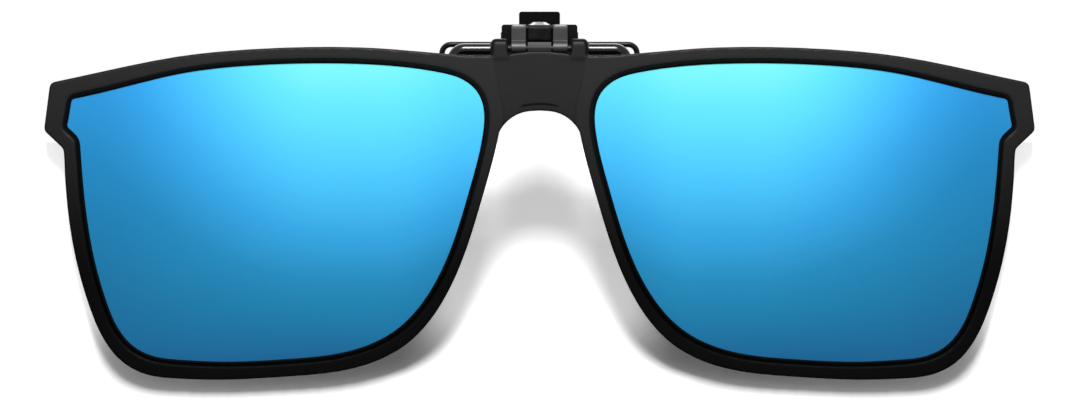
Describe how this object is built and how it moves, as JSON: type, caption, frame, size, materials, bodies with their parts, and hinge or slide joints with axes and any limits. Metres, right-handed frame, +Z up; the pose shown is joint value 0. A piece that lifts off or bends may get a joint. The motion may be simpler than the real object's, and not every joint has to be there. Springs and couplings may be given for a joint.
{
  "type": "clip-on flip-up sunglass lenses",
  "caption": "Mirrored sunglass lenses in one moulded front, hinged to a sprung clip that grips the bridge of a pair of spectacles so the lenses can be flipped up.",
  "frame": {"origin": "middle of the gap between the front and rear claws, midway between the left and right claws, where the spectacles are gripped", "axes": "+X towards the wearer's left, +Y back towards the wearer, +Z up; the lenses face -Y"},
  "size_m": [0.145, 0.0109, 0.0539],
  "materials": {
    "frame_plastic": "semi-matte black moulded nylon",
    "mirror_lens": "polycarbonate with a blue mirror coat on the front",
    "bracket_metal": "black coated stamped steel",
    "spring_steel": "dark spring steel",
    "rivet_metal": "bright plated steel",
    "claw_wire": "bright steel wire",
    "claw_rubber": "glossy black soft rubber",
    "cam_plastic": "dark grey acetal",
    "grip_plastic": "black moulded plastic"
  },
  "bodies": {
    "clip_base": {"clip_bracket": "bracket_metal", "detent_leaf": "spring_steel", "leaf_rivet": "rivet_metal", "front_claw_wire_left": "claw_wire", "front_claw_wire_right": "claw_wire", "front_claw_cover_left": "claw_rubber", "front_claw_cover_right": "claw_rubber", "front_claw_keeper": "bracket_metal", "front_claw_rivets": "rivet_metal", "jaw_pin": "rivet_metal", "torsion_spring": "spring_steel"},
    "lens_frame": {"front_frame": "frame_plastic", "lens_left": "mirror_lens", "lens_right": "mirror_lens", "hinge_pin": "rivet_metal", "detent_cam": "cam_plastic"},
    "rear_jaw": {"press_lever": "bracket_metal", "thumb_grip": "grip_plastic", "rear_claw_loop_left": "claw_wire", "rear_claw_loop_right": "claw_wire", "rear_claw_sleeve_left": "claw_rubber", "rear_claw_sleeve_right": "claw_rubber", "rear_claw_keeper": "bracket_metal", "rear_claw_rivets": "rivet_metal"}
  },
  "joints": [
    {"name": "flip_hinge", "type": "hinge", "parent": "clip_base", "child": "lens_frame", "pos_m": [0, -0.0051, 0.0057], "axis": [-1, 0, 0], "range_deg": [0, 90], "deforming": ["detent_leaf"]},
    {"name": "jaw_hinge", "type": "hinge", "parent": "clip_base", "child": "rear_jaw", "pos_m": [0, -0.0012, 0.0073], "axis": [1, 0, 0], "range_deg": [0, 18], "stiffness_Nm_per_rad": 0.03, "springref_deg": -22.92, "deforming": ["torsion_spring"]}
  ]
}
